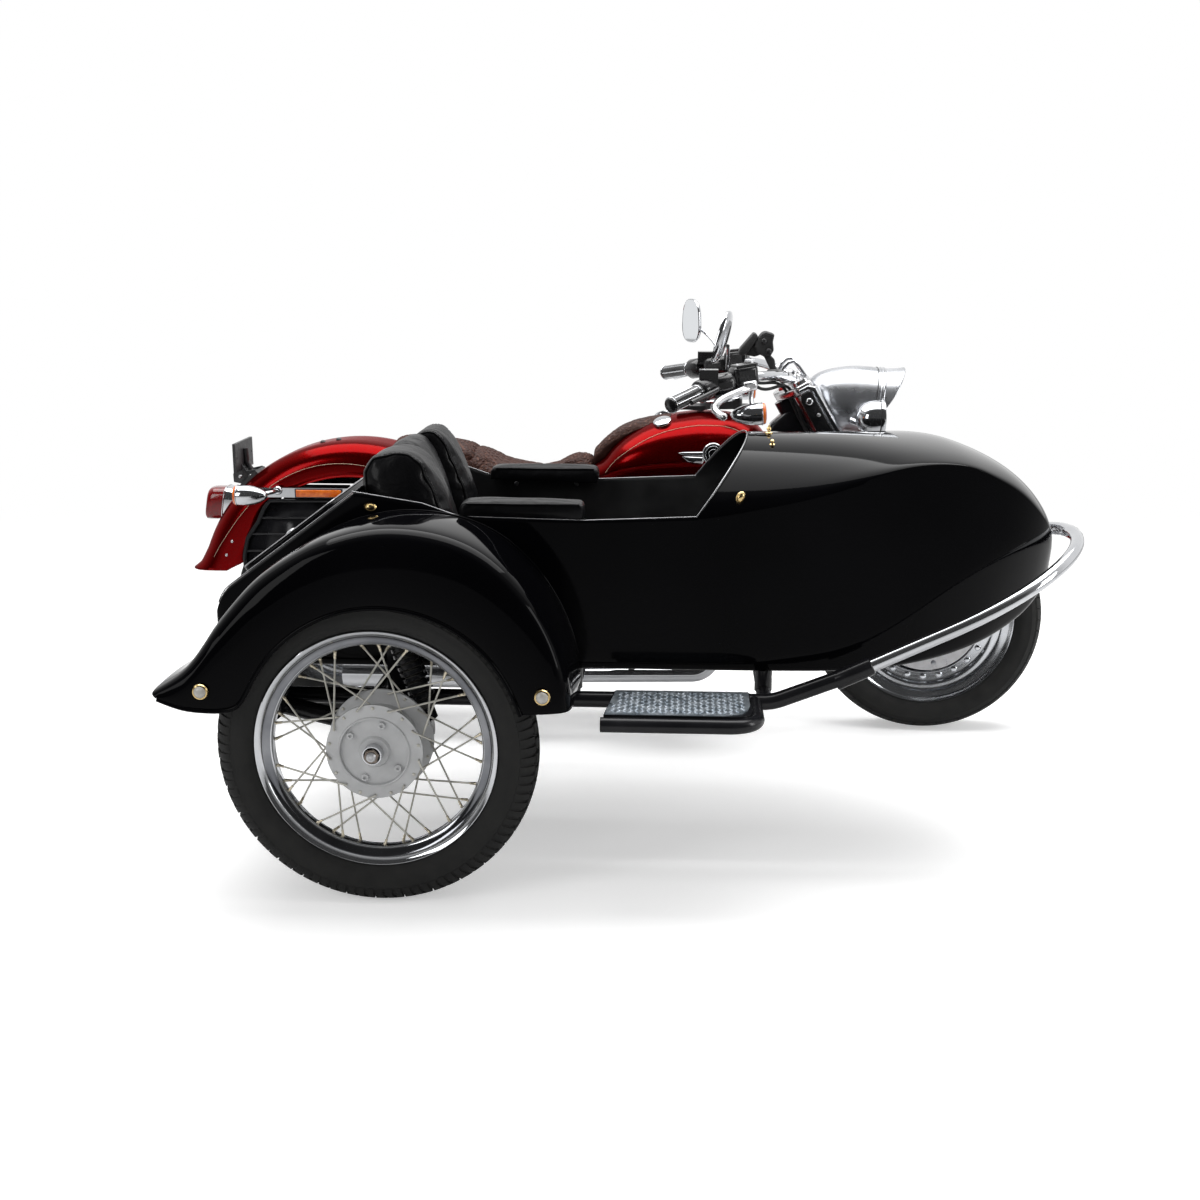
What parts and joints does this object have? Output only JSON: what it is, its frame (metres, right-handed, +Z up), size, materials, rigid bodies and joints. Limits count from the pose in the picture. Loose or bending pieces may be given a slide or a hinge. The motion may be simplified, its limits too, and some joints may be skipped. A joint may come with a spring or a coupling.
{
  "type": "sidecar motorcycle",
  "caption": "Cruiser motorcycle with a closed-nose black sidecar on its right: turning wheels, steering fork, side stand and a hinged boot lid.",
  "frame": {"origin": "on the ground under the middle of the whole vehicle's bounding box", "axes": "+X forward along the motorcycle, +Y to the rider's left, +Z up; the sidecar is on the -Y side"},
  "size_m": [2.407, 1.7988, 1.1839],
  "materials": {
    "frame_black": "gloss black paint",
    "body_black": "mirror-gloss black paint",
    "candy_red": "candy red lacquer",
    "chrome": "mirror plated",
    "steel": "bare, satin",
    "alloy": "polished",
    "cast_alloy": "cast, satin",
    "tread_plate": "raised diamond pattern",
    "tyre": "matt",
    "rubber": "matt",
    "brown_leather": "quilted, satin",
    "black_leather": "soft, satin",
    "black_plastic": "matt",
    "console_black": "gloss",
    "red_lens": "clear red",
    "amber_lens": "clear amber",
    "clear_glass": "clear",
    "lamp_brass": "polished"
  },
  "bodies": {
    "chassis": {"motorcycle_frame": "frame_black", "swingarm": "frame_black", "rear_axle": "steel", "drive_belt": "rubber", "rear_fender": "candy_red", "fender_rails": "chrome", "rear_lamps": "red_lens", "plate_bracket": "frame_black", "engine_case": "cast_alloy", "engine_cylinders": "cast_alloy", "primary_cover": "chrome", "air_cleaner": "chrome", "exhaust_system": "chrome", "fuel_tank": "candy_red", "tank_console": "console_black", "rider_seat": "brown_leather", "pillion_seat": "brown_leather", "side_covers": "frame_black", "rider_footboards": "rubber", "sidecar_body": "body_black", "sidecar_fender": "body_black", "sidecar_chassis": "frame_black", "sidecar_swingarm": "frame_black", "sidecar_shock": "rubber", "bumper_bar": "chrome", "sidecar_footboard": "tread_plate", "seat_cushion": "black_leather", "seat_back": "black_leather", "armrests": "black_leather", "marker_lamps": "lamp_brass"},
    "steering": {"fork_legs": "alloy", "front_axle": "steel", "triple_clamps": "cast_alloy", "fork_covers": "chrome", "front_fender": "candy_red", "handlebar": "chrome", "hand_grips": "rubber", "hand_controls": "black_plastic", "mirrors": "chrome", "headlamp_nacelle": "chrome", "headlamp_lens": "clear_glass", "passing_lamps": "chrome", "front_indicators": "amber_lens", "phone_mount": "black_plastic"},
    "front_wheel": {"front_tyre": "tyre", "front_wheel_disc": "alloy", "front_brake_disc": "steel"},
    "rear_wheel": {"rear_tyre": "tyre", "rear_wheel_disc": "alloy", "rear_pulley": "steel"},
    "sidecar_wheel": {"sidecar_tyre": "tyre", "sidecar_rim": "chrome", "sidecar_hub": "cast_alloy", "sidecar_spokes": "steel"},
    "side_stand_arm": {"side_stand": "frame_black"},
    "boot_lid_panel": {"boot_lid": "body_black"}
  },
  "joints": [
    {"name": "steering_turn", "type": "hinge", "parent": "chassis", "child": "steering", "pos_m": [0.83513, 0.449, 0.29392], "axis": [-0.4924, 0, 0.8704], "range_deg": [-28, 28]},
    {"name": "front_wheel_spin", "type": "hinge", "parent": "steering", "child": "front_wheel", "pos_m": [0.883, 0.449, 0.321], "axis": [0, 1, 0], "continuous": true},
    {"name": "rear_wheel_spin", "type": "hinge", "parent": "chassis", "child": "rear_wheel", "pos_m": [-0.757, 0.449, 0.326], "axis": [0, 1, 0], "continuous": true},
    {"name": "sidecar_wheel_spin", "type": "hinge", "parent": "chassis", "child": "sidecar_wheel", "pos_m": [-0.425, -0.8, 0.3356], "axis": [0, 1, 0], "continuous": true},
    {"name": "side_stand_swing", "type": "hinge", "parent": "chassis", "child": "side_stand_arm", "pos_m": [-0.117, 0.606, 0.205], "axis": [0, -1, 0], "range_deg": [0, 95]},
    {"name": "boot_lid_swing", "type": "hinge", "parent": "chassis", "child": "boot_lid_panel", "pos_m": [-0.71116, -0.052, 0.68566], "axis": [-0.8038, 0, -0.5949], "range_deg": [0, 85]}
  ]
}
